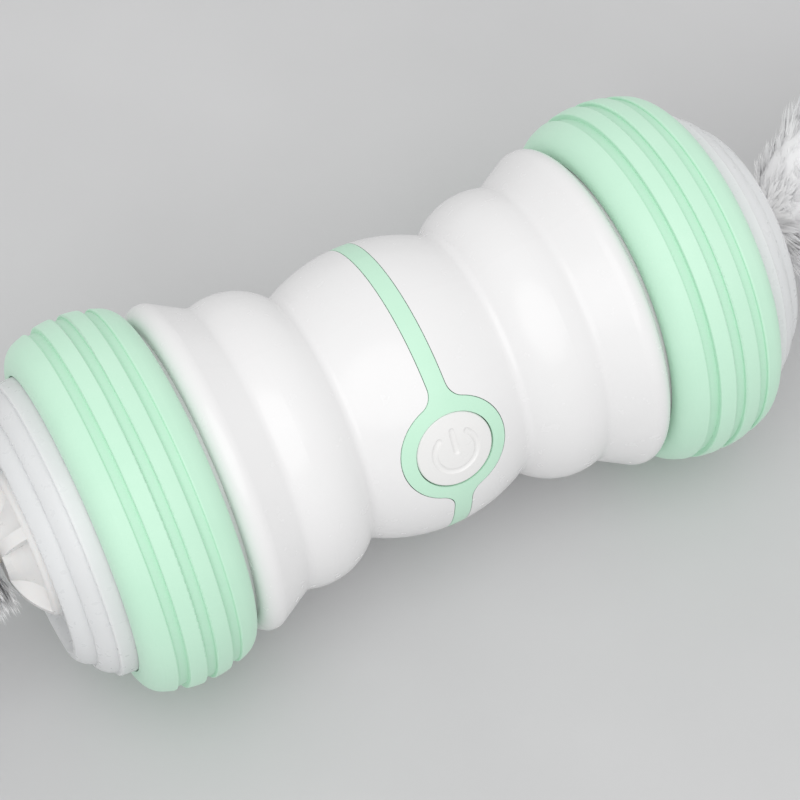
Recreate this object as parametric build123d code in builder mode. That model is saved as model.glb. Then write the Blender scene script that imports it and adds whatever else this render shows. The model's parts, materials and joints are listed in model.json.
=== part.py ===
"""Automatic rotating cat toy: a wavy body between two geared wheels, with a feather at each end.

X runs along the axle, the button side faces -Y, Z is up and the tyres stand on Z = 0.
"""
import os
from math import acos, cos, degrees, radians, sin, tan

from build123d import *

# Driving dimensions in millimetres and degrees

# Body, from its middle to one end
body_half_length = 35.2
body_wall = 2.2
end_wall = 2.0
centre_radius = 23.5
valley_share = 0.3807
valley_radius = 19.9
valley_fillet = 1.4
hump_share = 0.6222
hump_radius = 24.08
waist_share = 0.7301
waist_radius = 23.4
waist_fillet = 2.0
flare_radius = 28.8
rim_fillet = 2.56

# Guard ring on each end of the body, that reaches into the tyre
guard_width = 1.5
guard_clearance = 0.4
guard_reach = 0.4

# Joint of the two shells
spigot_length = 3.0
spigot_wall = 1.2
spigot_clearance = 0.15
snap_bead_radius = 0.4

# Centre band, bezel and power button
band_width = 2.86
band_thickness = 1.0
band_gap = 0.12
bezel_radius = 8.5
bezel_fillet = 3.0
button_angle = 27.4
button_radius = 6.2
button_clearance = 0.15
button_sink = 0.15
button_flange_radius = 7.4
button_flange_thickness = 1.0
button_flange_depth = 3.9
button_travel = 0.5
button_edge_radius = 0.3
symbol_depth = 0.3
symbol_ring_radius = 3.5
symbol_stroke = 1.05
symbol_gap_angle = 84.0
symbol_bar_length = 3.6

# Tyre
wheel_gap = 0.75
tyre_radius = 30.0
tyre_width = 18.6
tyre_crown_drop = 2.55
tyre_shoulder_radius = 4.0
tyre_thickness = 5.0
tyre_lip_height = 0.7
tyre_lip_width = 1.7
groove_count = 3
groove_width = 1.6
groove_depth = 0.65
groove_edge_radius = 0.25
groove_pitch = 4.3
groove_offset = -0.15

# Wheel rim
rim_wall = 2.0
rim_web = 2.0
hub_radius = 6.0
hub_length = 9.8
seat_gap = 0.05

# Hub cap, as lengths beyond the tyre
cap_tier_length = 2.58
cap_step = 0.7
cap_first_taper = 0.3
cap_second_drop = 1.8
cap_third_drop = 2.0
cap_tier_bulge = 0.35
cap_edge_radius = 0.3
cap_crest_width = 0.9
cap_recess_depth = 1.8
cap_recess_slope = 1.0
cap_wall = 1.8
cap_spigot_length = 3.2
cap_post_count = 3
cap_post_circle = 14.0
cap_post_radius = 2.6
sleeve_wall = 1.9
sleeve_length = 10.8

# Feather and its holder
plug_radius = 4.0
plug_clearance = 0.1
plug_length = 9.8
holder_gap = 0.15
flange_radius = 11.7
flange_thickness = 2.1
flange_lip = 1.2
flange_edge_radius = 0.9
flange_inner_radius = 0.25
pocket_depth = 0.8
holder_height = 3.8
socket_radius = 4.4
core_radius = 8.0
gusset_count = 4
gusset_angle = 111.5
gusset_thickness = 2.0
quill_radius = 1.1
quill_clearance = 0.05
quill_depth = 12.5
quill_bare = 1.2
plume_length = 75.0
plume_radius = 13.0
plume_rise = 2.8
plume_rise_angle = 36.0
plume_swell = ((0.0, 0.42), (0.12, 0.78), (0.28, 1.0), (0.55, 0.82), (0.82, 0.46), (1.0, 0.12))

# Gears
module = 0.5
pressure_angle = 25.0
addendum = 0.8
dedendum = 1.05
backlash = 0.12
large_teeth = 30
small_teeth = 10
gear_thickness = 2.2
gear_gap = 0.5
motor_angle = -46.0
idler_angle = 130.0

# Shafts, pins and bushes
shaft_radius = 1.5
shaft_flat = 0.5
running_clearance = 0.05
idler_pin_radius = 1.0
pin_boss_wall = 1.2
pin_boss_height = 1.9
bush_wall = 1.5
bush_flange_width = 1.5
bush_flange_thickness = 0.8
bush_boss_wall = 2.0
bush_boss_height = 2.2
thrust_gap = 0.25

# Gear plate and its bosses
plate_thickness = 2.0
plate_margin = 1.2
boss_margin = 1.5
boss_radius = 2.6
boss_angles = (24.0, 70.0, 190.0, 250.0)

# Motor
motor_radius = 6.0
motor_flat = 10.0
motor_middle_gap = 5.4
motor_case = 0.5
motor_front_boss_radius = 2.0
motor_front_boss_length = 0.8
motor_shaft_radius = 0.75
motor_cap_length = 1.5
motor_cap_plug = 1.2
motor_screw_spacing = 9.0
armature_radius = 3.4
armature_share = 0.533
terminal_width = 1.4
terminal_length = 1.5
terminal_thickness = 0.4
terminal_spacing = 6.0

# Screws
screw_radius = 1.0
screw_length = 6.0
screw_head_radius = 1.9
screw_head_height = 1.3
screw_clearance = 0.1
small_screw_radius = 0.8
small_screw_length = 3.0
small_screw_head_radius = 1.4
small_screw_head_height = 0.8
screw_slot = 0.4

# Chassis, boards and cell
deck_thickness = 1.6
deck_front = 13.0
deck_margin = 1.2
deck_end_gap = 0.1
tab_width = 4.0
tab_length = 1.6
tab_clearance = 0.1
tab_front = 8.0
tab_back = 11.0
board_depth = 9.9
board_thickness = 1.0
board_end_gap = 3.9
board_width = 15.0
board_screw_inset = 2.5
gusset_post_width = 4.0
gusset_foot = 9.0
board_seat_low = 4.5
board_seat_high = 5.0
cell_radius = 7.0
cell_length = 25.0
cell_offset = 10.5
cell_angle = 225.0
cell_cap_radius = 2.5
cell_cap_height = 0.8
clip_clearance = 0.05
clip_wall = 1.0
clip_width = 3.0
clip_spacing = 16.0
clip_mouth = 120.0
switch_side = 6.0
switch_height = 3.5
plunger_radius = 1.7
plunger_depth = 1.6
plunger_height = 0.8
chip_length = 5.0
chip_width = 4.0
chip_height = 1.4
chip_shift = -10.0
lamp_length = 1.6
lamp_width = 0.8
lamp_height = 0.7
lamp_shift = 5.0
socket_shift = 7.0
socket_width = 8.94
socket_height = 3.16
socket_depth = 7.3
socket_case = 0.3
socket_inset = 3.3
socket_tongue = 0.7
slot_clearance = 0.25
charge_board_length = 12.0
charge_board_width = 7.4

# Places worked out from the driving dimensions

axle_z = tyre_radius
axle = Axis((0, 0, axle_z), (1, 0, 0))
section = Plane(origin=(0, 0, axle_z), x_dir=(1, 0, 0), z_dir=(0, -1, 0))

valley_x = valley_share * body_half_length
hump_x = hump_share * body_half_length
waist_x = waist_share * body_half_length
body_reach = flare_radius + body_wall
crown_curve = (valley_x**2 + (centre_radius - valley_radius) ** 2) / (2 * (centre_radius - valley_radius))
end_inner_x = body_half_length - end_wall

large_radius = module * large_teeth / 2
small_radius = module * small_teeth / 2
gear_distance = large_radius + small_radius
output_gear_x1 = end_inner_x - bush_boss_height - gear_gap
output_gear_x0 = output_gear_x1 - gear_thickness
idler_gear_x1 = output_gear_x0 - gear_gap
idler_gear_x0 = idler_gear_x1 - gear_thickness
cluster_gear_x1 = idler_gear_x0 - gear_gap
cluster_gear_x0 = cluster_gear_x1 - gear_thickness
plate_x1 = cluster_gear_x0 - gear_gap
plate_x0 = plate_x1 - plate_thickness
plate_radius = hump_radius - body_wall - plate_margin
boss_circle = plate_radius - boss_radius - boss_margin
bush_radius = shaft_radius + running_clearance + bush_wall

tyre_x0 = body_half_length + wheel_gap
tyre_x1 = tyre_x0 + tyre_width
tyre_bore = tyre_radius - tyre_thickness
tyre_lip_bore = tyre_bore - tyre_lip_height
guard_radius = tyre_lip_bore - guard_clearance
guard_length = wheel_gap + guard_reach
rim_x0 = tyre_x0 + tyre_lip_width + seat_gap
rim_x1 = tyre_x1 - tyre_lip_width - seat_gap
rim_radius = tyre_bore - seat_gap
hub_x0 = body_half_length + bush_flange_thickness + thrust_gap
hub_x1 = hub_x0 + hub_length
shaft_x1 = hub_x1 - rim_wall / 2

cap_radius = tyre_lip_bore - 2 * seat_gap
cap_x0 = rim_x1 + seat_gap
cap_x1 = tyre_x1 + cap_tier_length
cap_x2 = cap_x1 + cap_tier_length
cap_x3 = cap_x2 + cap_tier_length
cap_floor_x = cap_x3 - cap_recess_depth
cap_spigot_radius = rim_radius - rim_wall - 2 * seat_gap
sleeve_bore = plug_radius + plug_clearance
sleeve_radius = sleeve_bore + sleeve_wall
sleeve_x0 = cap_floor_x - sleeve_length

flange_x0 = cap_floor_x + holder_gap
flange_x1 = flange_x0 + flange_thickness
holder_x1 = flange_x1 + holder_height
quill_x0 = holder_x1 - quill_depth
quill_x1 = holder_x1 + quill_bare

pocket_x = flange_x1 - pocket_depth

motor_x0 = motor_middle_gap
motor_length = plate_x0 - motor_x0
armature_length = armature_share * motor_length
board_length = 2 * (plate_x0 - board_end_gap)
deck_back = valley_radius - body_wall - deck_margin
deck_end_x = plate_x0 - deck_end_gap
socket_rise = deck_thickness + board_thickness + socket_height / 2
socket_mouth_y = centre_radius - socket_inset
board_back = centre_radius - board_depth - board_thickness
board_front = board_back + board_thickness
switch_front = board_front + switch_height
button_flange_top = centre_radius - button_flange_depth
button_foot = switch_front + plunger_height
button_top = centre_radius - button_sink
symbol_drop = symbol_ring_radius**2 / (centre_radius + crown_curve)
symbol_cutter = (symbol_stroke**2 / 4 + symbol_depth**2) / (2 * symbol_depth)
symbol_cutter_rise = symbol_cutter - symbol_depth


def axial(x, distance=0.0, angle=0.0):
    """Plane square to the axle at x, with its origin moved off the axle by a distance at an angle."""
    place = (x, distance * cos(radians(angle)), axle_z + distance * sin(radians(angle)))
    return Plane(origin=place, x_dir=(0, 1, 0), z_dir=(1, 0, 0))


def radial(angle):
    """Plane through the axle whose own y points outwards at an angle."""
    way = (0, -sin(radians(angle)), cos(radians(angle)))
    return Plane(origin=(0, 0, axle_z), x_dir=(1, 0, 0), z_dir=way)


def button_plane(depth, x=0.0, rise=0.0):
    """Plane square to the button's way of travel, at a distance from the axle, moved along and up."""
    across = cos(radians(button_angle))
    up = sin(radians(button_angle))
    place = (x, rise * up - depth * across, axle_z + depth * up + rise * across)
    return Plane(origin=place, x_dir=(1, 0, 0), z_dir=(0, -across, up))


def polar(radius, angle):
    """Point at a radius and an angle in degrees."""
    return radius * cos(radians(angle)), radius * sin(radians(angle))


def screw(plane, radius, length, head_radius, head_height):
    """Adds a pan-head screw whose head sits on the plane and whose shank runs back through it."""
    post(plane, head_radius, head_height)
    post(plane, radius, -length)
    with BuildSketch(plane.offset(head_height)) as slot:
        Rectangle(1.4 * head_radius, screw_slot)
        Rectangle(screw_slot, 1.4 * head_radius)
    extrude(slot.sketch, amount=-head_height / 2, mode=Mode.SUBTRACT)


def gear_outline(teeth, phase):
    """Adds an involute gear outline to the sketch, with one tooth centred at the phase angle."""
    pitch = module * teeth / 2
    base = pitch * cos(radians(pressure_angle))
    tip = pitch + addendum * module
    root = pitch - dedendum * module
    start = max(base, root)
    half_tooth = 90 / teeth - degrees(backlash / 2 / pitch)
    involute_at_pitch = degrees(tan(radians(pressure_angle))) - pressure_angle

    def half_angle(radius):
        roll = acos(base / radius)
        return half_tooth + involute_at_pitch - degrees(tan(roll) - roll)

    with BuildLine() as outline:
        for tooth in range(teeth):
            middle = phase + 360 * tooth / teeth
            last = middle - 360 / teeth
            rise = [polar(r, middle - half_angle(r)) for r in (start, pitch, tip)]
            fall = [polar(r, middle + half_angle(r)) for r in (tip, pitch, start)]
            foot_rise = polar(root, middle - half_angle(start))
            foot_fall = polar(root, middle + half_angle(start))
            Line(polar(root, last + half_angle(start)), foot_rise)
            if start > root:
                Line(foot_rise, rise[0])
                Line(fall[2], foot_fall)
            ThreePointArc(*rise)
            Line(rise[2], fall[0])
            ThreePointArc(*fall)
    make_face(outline.edges())


def body_line(inset):
    """Draws the wavy line of the body from its middle to the flare's end, lowered by the inset."""
    middle = (0, centre_radius - inset)
    valley = (valley_x, valley_radius - inset)
    hump = (hump_x, hump_radius - inset)
    waist = (waist_x, waist_radius - inset)
    TangentArc(middle, valley, tangent=(1, 0))
    TangentArc(hump, valley, tangent=(-1, 0))
    TangentArc(hump, waist, tangent=(1, 0))
    Line(waist, (body_half_length, flare_radius - inset))


def corner(sketch, x, y):
    """The sketch's vertex nearest to a point."""
    return sketch.vertices().sort_by_distance((x, y, 0))[0]


def body_face(inset, end_x):
    """Adds the region between the axle and the wavy line, cut off at an end."""
    with BuildSketch(mode=Mode.PRIVATE) as region:
        with BuildLine():
            body_line(inset)
            Polyline(
                (body_half_length, flare_radius - inset),
                (body_half_length, 0),
                (0, 0),
                (0, centre_radius - inset),
            )
        make_face()
        fillet(corner(region, valley_x, valley_radius - inset), valley_fillet)
        fillet(corner(region, waist_x, waist_radius - inset), waist_fillet)
        if inset == 0:
            fillet(corner(region, body_half_length, flare_radius), rim_fillet)
        with Locations((end_x / 2, body_reach / 2)):
            Rectangle(end_x, body_reach, mode=Mode.INTERSECT)
    return region.sketch


def crown_ring(half_width, outside, inside):
    """Adds the ring under the body's middle crown between two heights measured from its surface."""
    with BuildSketch(section) as ring:
        with Locations((0, centre_radius - crown_curve)):
            Circle(crown_curve + outside)
            Circle(crown_curve - inside, mode=Mode.SUBTRACT)
        with Locations((0, centre_radius)):
            Rectangle(2 * half_width, centre_radius, mode=Mode.INTERSECT)
    revolve(ring.sketch, axis=axle)


def band_form(grow, outside, inside):
    """The band with its bezel, grown sideways and reaching from one height to another."""
    with BuildPart() as form:
        crown_ring(bezel_radius + bezel_fillet, outside, inside)
        with BuildSketch(button_plane(0)) as outline:
            Circle(bezel_radius + grow)
            Rectangle(band_width + 2 * grow, 2 * (body_reach + outside))
            inner = outline.vertices().filter_by(lambda v: abs(v.Y) < bezel_radius + grow)
            fillet(inner, bezel_fillet - grow)
        extrude(amount=2 * centre_radius, mode=Mode.INTERSECT)
        crown_ring(band_width / 2 + grow, outside, inside)
    return form.part


def drill(plane, radius, depth):
    """Cuts a round hole from the plane along its normal."""
    with BuildSketch(plane) as circle:
        Circle(radius)
    extrude(circle.sketch, amount=depth, mode=Mode.SUBTRACT)


def post(plane, radius, height):
    """Adds a round post on the plane along its normal."""
    with BuildSketch(plane) as circle:
        Circle(radius)
    extrude(circle.sketch, amount=height)


# Body shells

band_pocket = band_form(band_gap, body_reach - centre_radius, band_thickness + seat_gap)
mouth_radius = centre_radius - body_wall


def shell_common():
    """Adds the right half of the body: wavy wall, end wall, bosses and the cuts that both shells share."""
    with BuildSketch(section) as wall:
        add(body_face(0, body_half_length))
        add(body_face(body_wall, end_inner_x), mode=Mode.SUBTRACT)
        with Locations((body_half_length, guard_radius - guard_width / 2)):
            Rectangle(2 * guard_length, guard_width)
    revolve(wall.sketch, axis=axle)
    for angle in boss_angles:
        post(axial(plate_x1, boss_circle, angle), boss_radius, end_inner_x - plate_x1)
        pilot = screw_length - plate_thickness + screw_clearance
        drill(axial(plate_x1, boss_circle, angle), screw_radius, pilot)
    post(axial(end_inner_x - bush_boss_height), bush_radius + bush_boss_wall, bush_boss_height)
    drill(axial(end_inner_x - bush_boss_height), bush_radius, bush_boss_height + end_wall)
    pin_boss = axial(end_inner_x - pin_boss_height, gear_distance, idler_angle)
    post(pin_boss, idler_pin_radius + pin_boss_wall, pin_boss_height)
    drill(pin_boss, idler_pin_radius, pin_boss_height)


def button_opening():
    """Cuts the opening for the button from its flange out through the wall."""
    drill(button_plane(button_flange_top), button_radius + button_clearance, body_reach)


with BuildPart() as right_shell:
    shell_common()
    with BuildSketch(section):
        with Locations((spigot_length / 2, mouth_radius - spigot_clearance - spigot_wall / 2)):
            Rectangle(spigot_length, spigot_wall + 2 * spigot_clearance)
        with Locations((0, mouth_radius - 2 * spigot_clearance - spigot_wall / 2)):
            Rectangle(2 * spigot_length, spigot_wall)
        with Locations((-spigot_length / 2, mouth_radius - 2 * spigot_clearance)):
            Circle(snap_bead_radius)
    revolve(axis=axle)
    add(band_pocket, mode=Mode.SUBTRACT)
    with BuildSketch(button_plane(board_front)):
        Circle(button_flange_radius + button_clearance)
    extrude(amount=button_flange_top - board_front + spigot_wall, mode=Mode.SUBTRACT)
    button_opening()
    slot_plane = Plane(origin=(socket_shift, 0, axle_z), x_dir=(1, 0, 0), z_dir=(0, 1, 0))
    with BuildSketch(slot_plane):
        with Locations((0, -socket_rise)):
            SlotOverall(socket_width + 2 * slot_clearance, socket_height + 2 * slot_clearance)
    extrude(amount=body_reach, mode=Mode.SUBTRACT)

with BuildPart() as left_shell:
    shell_common()
    with BuildSketch(section):
        with Locations((spigot_length / 2, mouth_radius - 2 * spigot_clearance)):
            Circle(snap_bead_radius + spigot_clearance)
    revolve(axis=axle, mode=Mode.SUBTRACT)
    mirror(about=Plane.YZ, mode=Mode.REPLACE)
    add(band_pocket, mode=Mode.SUBTRACT)
    with BuildSketch(button_plane(board_front)):
        Circle(button_flange_radius + button_clearance)
    extrude(amount=button_flange_top - board_front, mode=Mode.SUBTRACT)
    button_opening()

# Centre band and power button

with BuildPart() as centre_band:
    add(band_form(0, 0, band_thickness))
    button_opening()


def symbol_point(along, up, drop):
    """Place of the symbol cutter's middle, along and up from the button's middle and lowered by a drop."""
    return button_plane(button_top + symbol_cutter_rise - drop, along, up)


def engrave_ball(plane):
    """Cuts the round end of a stroke of the symbol."""
    with Locations(plane.location):
        Sphere(symbol_cutter, mode=Mode.SUBTRACT)


with BuildPart() as power_button:
    crown_ring(button_flange_radius, -button_sink, button_flange_depth)
    with BuildSketch(button_plane(button_flange_top - button_flange_thickness)):
        Circle(button_radius)
    extrude(amount=body_reach, mode=Mode.INTERSECT)
    rim_edges = power_button.edges().filter_by(
        lambda e: button_plane(0).to_local_coords(e.center()).Z > button_flange_top + button_sink
    )
    fillet(rim_edges.filter_by(GeomType.LINE, reverse=True), button_edge_radius)
    flange_back = button_plane(button_flange_top - button_flange_thickness)
    post(flange_back, button_flange_radius, button_flange_thickness)
    post(button_plane(button_foot), plunger_radius, button_flange_top - button_foot)
    ring_middle = symbol_point(0, 0, symbol_drop)
    along, up = polar(1, 90 + symbol_gap_angle / 2)
    outwards = along * ring_middle.x_dir + up * ring_middle.y_dir
    with BuildSketch(Plane(ring_middle.origin, outwards, outwards.cross(ring_middle.z_dir))) as stroke:
        with Locations((symbol_ring_radius, 0)):
            Circle(symbol_cutter)
    revolve(
        stroke.sketch,
        axis=Axis(ring_middle.origin, ring_middle.z_dir),
        revolution_arc=360 - symbol_gap_angle,
        mode=Mode.SUBTRACT,
    )
    for angle in (90 - symbol_gap_angle / 2, 90 + symbol_gap_angle / 2):
        engrave_ball(symbol_point(*polar(symbol_ring_radius, angle), symbol_drop))
    bar_top = symbol_point(0, symbol_ring_radius, symbol_drop)
    bar_foot = symbol_point(0, symbol_ring_radius - symbol_bar_length, 0)
    bar = bar_top.origin - bar_foot.origin
    with BuildSketch(Plane(bar_foot.origin, z_dir=bar)) as bar_end:
        Circle(symbol_cutter)
    extrude(bar_end.sketch, amount=bar.length, mode=Mode.SUBTRACT)
    engrave_ball(bar_top)
    engrave_ball(bar_foot)


# Wheels, drawn for the right end

tyre_middle = (tyre_x0 + tyre_x1) / 2
shoulder = tyre_radius - tyre_crown_drop
crown_rate = tyre_crown_drop / (tyre_width / 2) ** 2

with BuildPart() as tyre:
    with BuildSketch(section) as tyre_face:
        with BuildLine():
            ThreePointArc((tyre_x0, shoulder), (tyre_middle, tyre_radius), (tyre_x1, shoulder))
            Polyline(
                (tyre_x1, shoulder),
                (tyre_x1, tyre_lip_bore),
                (tyre_x1 - tyre_lip_width, tyre_lip_bore),
                (tyre_x1 - tyre_lip_width, tyre_bore),
                (tyre_x0 + tyre_lip_width, tyre_bore),
                (tyre_x0 + tyre_lip_width, tyre_lip_bore),
                (tyre_x0, tyre_lip_bore),
                (tyre_x0, shoulder),
            )
        make_face()
        fillet(corner(tyre_face, tyre_x0, shoulder), tyre_shoulder_radius)
        fillet(corner(tyre_face, tyre_x1, shoulder), tyre_shoulder_radius)
        for groove in range(groove_count):
            away = groove_offset + groove_pitch * (groove - (groove_count - 1) / 2)
            crown = tyre_radius - crown_rate * away**2
            with Locations((tyre_middle + away, crown)):
                Rectangle(groove_width, 2 * groove_depth, mode=Mode.SUBTRACT)
            for half in (-groove_width / 2, groove_width / 2):
                fillet(corner(tyre_face, tyre_middle + away + half, crown), groove_edge_radius)
    revolve(axis=axle)

with BuildPart() as wheel_rim:
    with BuildSketch(section):
        with Locations(((rim_x0 + rim_x1) / 2, rim_radius - rim_wall / 2)):
            Rectangle(rim_x1 - rim_x0, rim_wall)
        with Locations((rim_x0 + rim_web / 2, rim_radius / 2)):
            Rectangle(rim_web, rim_radius)
        with Locations((hub_x0 + hub_length / 2, hub_radius / 2)):
            Rectangle(hub_length, hub_radius)
    revolve(axis=axle)
    with BuildSketch(axial(hub_x0)):
        Circle(shaft_radius)
        with Locations((0, 2 * shaft_radius - shaft_flat)):
            Rectangle(2 * shaft_radius, 2 * shaft_radius, mode=Mode.SUBTRACT)
    extrude(amount=shaft_x1 - hub_x0, mode=Mode.SUBTRACT)
    drill(axial(hub_x0), small_screw_radius + screw_clearance, hub_length)
    with BuildSketch(axial(rim_x0)):
        with PolarLocations(cap_post_circle, cap_post_count):
            Circle(screw_radius + screw_clearance)
    extrude(amount=rim_web, mode=Mode.SUBTRACT)

with BuildPart() as output_shaft:
    post(axial(plate_x0), shaft_radius, shaft_x1 - plate_x0)
    with BuildSketch(axial(hub_x0)):
        with Locations((0, 2 * shaft_radius - shaft_flat)):
            Rectangle(2 * shaft_radius, 2 * shaft_radius)
    extrude(amount=shaft_x1 - hub_x0, mode=Mode.SUBTRACT)
    drill(axial(shaft_x1), small_screw_radius, -small_screw_length)

with BuildPart() as shaft_screw:
    screw(
        axial(hub_x1),
        small_screw_radius,
        small_screw_length,
        small_screw_head_radius,
        small_screw_head_height,
    )

with BuildPart() as hub_cap:
    second_top = cap_radius - cap_first_taper - cap_step
    second_low = second_top - cap_second_drop
    third_top = second_low - cap_step
    third_low = third_top - cap_third_drop
    inner_x = cap_floor_x - cap_wall
    with BuildSketch(section) as cap_face:
        with BuildLine():
            Polyline(
                (cap_x0, cap_spigot_radius),
                (cap_x0, cap_radius),
                (cap_x1, cap_radius - cap_first_taper),
                (cap_x1, second_top),
            )
            SagittaArc((cap_x1, second_top), (cap_x2, second_low), cap_tier_bulge)
            Line((cap_x2, second_low), (cap_x2, third_top))
            SagittaArc((cap_x2, third_top), (cap_x3, third_low), cap_tier_bulge)
            Polyline(
                (cap_x3, third_low),
                (cap_x3, third_low - cap_crest_width),
                (cap_floor_x, third_low - cap_crest_width - cap_recess_slope),
                (cap_floor_x, sleeve_bore),
                (sleeve_x0, sleeve_bore),
                (sleeve_x0, sleeve_radius),
                (inner_x, sleeve_radius),
                (inner_x, third_low - cap_crest_width),
                (cap_x1 - cap_wall, second_top - cap_wall),
                (cap_x0 - cap_spigot_length, cap_spigot_radius - cap_wall),
                (cap_x0 - cap_spigot_length, cap_spigot_radius),
                (cap_x0, cap_spigot_radius),
            )
        make_face()
        for edge in ((cap_x1, cap_radius - cap_first_taper), (cap_x2, second_low), (cap_x3, third_low)):
            fillet(corner(cap_face, *edge), cap_edge_radius)
    revolve(axis=axle)
    with BuildSketch(axial(rim_x0 + rim_web)):
        with PolarLocations(cap_post_circle, cap_post_count):
            Circle(cap_post_radius)
    extrude(amount=inner_x + cap_wall / 2 - rim_x0 - rim_web)
    with BuildSketch(axial(rim_x0 + rim_web)):
        with PolarLocations(cap_post_circle, cap_post_count):
            Circle(screw_radius)
    extrude(amount=screw_length, mode=Mode.SUBTRACT)

with BuildPart() as hub_cap_screws:
    for number in range(cap_post_count):
        seat = axial(rim_x0, cap_post_circle, 360 * number / cap_post_count)
        screw(-seat, screw_radius, screw_length, screw_head_radius, screw_head_height)

# Feather and its holder, drawn for the right end

with BuildPart() as feather_holder:
    with BuildSketch(section) as holder_face:
        with BuildLine():
            Polyline(
                (flange_x0 - plug_length, 0),
                (flange_x0 - plug_length, plug_radius),
                (flange_x0, plug_radius),
                (flange_x0, flange_radius),
                (flange_x1, flange_radius),
                (flange_x1, flange_radius - flange_lip),
                (pocket_x, flange_radius - flange_lip),
                (pocket_x, core_radius),
            )
            SagittaArc((pocket_x, core_radius), (holder_x1, socket_radius), -flange_lip / 2)
            Polyline((holder_x1, socket_radius), (holder_x1, 0), (flange_x0 - plug_length, 0))
        make_face()
        for x in (flange_x0, flange_x1):
            fillet(corner(holder_face, x, flange_radius), flange_edge_radius)
        fillet(corner(holder_face, flange_x1, flange_radius - flange_lip), flange_inner_radius)
    revolve(axis=axle)
    for number in range(gusset_count):
        with BuildSketch(radial(gusset_angle + 360 * number / gusset_count)):
            with BuildLine():
                SagittaArc(
                    (flange_x1, flange_radius - flange_lip / 2),
                    (holder_x1, socket_radius),
                    flange_lip / 2,
                )
                Polyline(
                    (holder_x1, socket_radius),
                    (holder_x1, plug_radius / 2),
                    (flange_x0, plug_radius / 2),
                    (flange_x0, flange_radius - flange_lip / 2),
                    (flange_x1, flange_radius - flange_lip / 2),
                )
            make_face()
        extrude(amount=gusset_thickness / 2, both=True)
    drill(axial(quill_x0), quill_radius + quill_clearance, quill_depth)

with BuildPart() as feather_quill:
    post(axial(quill_x0), quill_radius, quill_x1 - quill_x0)

with BuildPart() as feather_plume:
    for share, swell in plume_swell:
        with BuildSketch(axial(quill_x1 + share * plume_length, plume_rise * swell, plume_rise_angle)):
            Circle(plume_radius * swell)
    loft()

# Gear train, drawn for the right end

half_pitch = 180 / small_teeth


def gear_wheel(plane, teeth, phase, thickness, bore):
    """Adds a spur gear on the plane, with its bore."""
    with BuildSketch(plane) as outline:
        gear_outline(teeth, phase)
    extrude(outline.sketch, amount=thickness)
    drill(plane, bore, thickness)


with BuildPart() as output_gear:
    gear_wheel(axial(output_gear_x0), large_teeth, idler_angle, gear_thickness, shaft_radius)

with BuildPart() as cluster_gear:
    bore = shaft_radius + running_clearance
    length = idler_gear_x1 - cluster_gear_x1
    gear_wheel(axial(cluster_gear_x0), large_teeth, motor_angle, gear_thickness, bore)
    gear_wheel(axial(cluster_gear_x1), small_teeth, idler_angle + half_pitch, length, bore)

with BuildPart() as idler_gear:
    bore = idler_pin_radius + running_clearance
    length = output_gear_x1 - idler_gear_x1
    back = idler_angle + 180
    large_plane = axial(idler_gear_x0, gear_distance, idler_angle)
    small_plane = axial(idler_gear_x1, gear_distance, idler_angle)
    gear_wheel(large_plane, large_teeth, back, gear_thickness, bore)
    gear_wheel(small_plane, small_teeth, back + half_pitch, length, bore)

with BuildPart() as idler_pin:
    post(axial(plate_x0, gear_distance, idler_angle), idler_pin_radius, end_inner_x - plate_x0)

with BuildPart() as shaft_bush:
    post(axial(end_inner_x - bush_boss_height), bush_radius, bush_boss_height + end_wall)
    post(axial(body_half_length), bush_radius + bush_flange_width, bush_flange_thickness)
    depth = bush_boss_height + end_wall + bush_flange_thickness
    drill(axial(end_inner_x - bush_boss_height), shaft_radius + running_clearance, depth)

with BuildPart() as gear_plate:
    post(axial(plate_x0), plate_radius, plate_thickness)
    drill(axial(plate_x0), shaft_radius + running_clearance, plate_thickness)
    drill(axial(plate_x0, gear_distance, idler_angle), idler_pin_radius, plate_thickness)
    drill(
        axial(plate_x0, gear_distance, motor_angle),
        motor_front_boss_radius + screw_clearance,
        plate_thickness,
    )
    for angle in boss_angles:
        drill(axial(plate_x0, boss_circle, angle), screw_radius + screw_clearance, plate_thickness)
    with BuildSketch(axial(plate_x0, gear_distance, motor_angle)):
        with Locations(polar(motor_screw_spacing / 2, motor_angle + 90)):
            Circle(small_screw_radius + screw_clearance)
        with Locations(polar(-motor_screw_spacing / 2, motor_angle + 90)):
            Circle(small_screw_radius + screw_clearance)
    extrude(amount=plate_thickness, mode=Mode.SUBTRACT)
    with BuildSketch(axial(plate_x0)):
        with Locations((-tab_front, deck_thickness / 2), (tab_back, deck_thickness / 2)):
            Rectangle(tab_width + 2 * tab_clearance, deck_thickness + 2 * tab_clearance)
    extrude(amount=plate_thickness, mode=Mode.SUBTRACT)

with BuildPart() as gear_plate_screws:
    for angle in boss_angles:
        seat = axial(plate_x0, boss_circle, angle)
        screw(-seat, screw_radius, screw_length, screw_head_radius, screw_head_height)

# Motor, drawn for the right end

motor_axis = (gear_distance, motor_angle)


def motor_outline(plane, inset):
    """Sketch of the motor's flattened round section, drawn in by an inset."""
    with BuildSketch(plane) as outline:
        Circle(motor_radius - inset)
        Rectangle(
            motor_flat - 2 * inset,
            2 * motor_radius,
            rotation=motor_angle,
            mode=Mode.INTERSECT,
        )
    return outline.sketch


def motor_screw_places(x):
    """The two planes of the motor's mounting screws at x."""
    planes = []
    for side in (1, -1):
        y, z = polar(gear_distance, motor_angle)
        dy, dz = polar(side * motor_screw_spacing / 2, motor_angle + 90)
        planes.append(Plane(origin=(x, y + dy, axle_z + z + dz), x_dir=(0, 1, 0), z_dir=(1, 0, 0)))
    return planes


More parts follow.
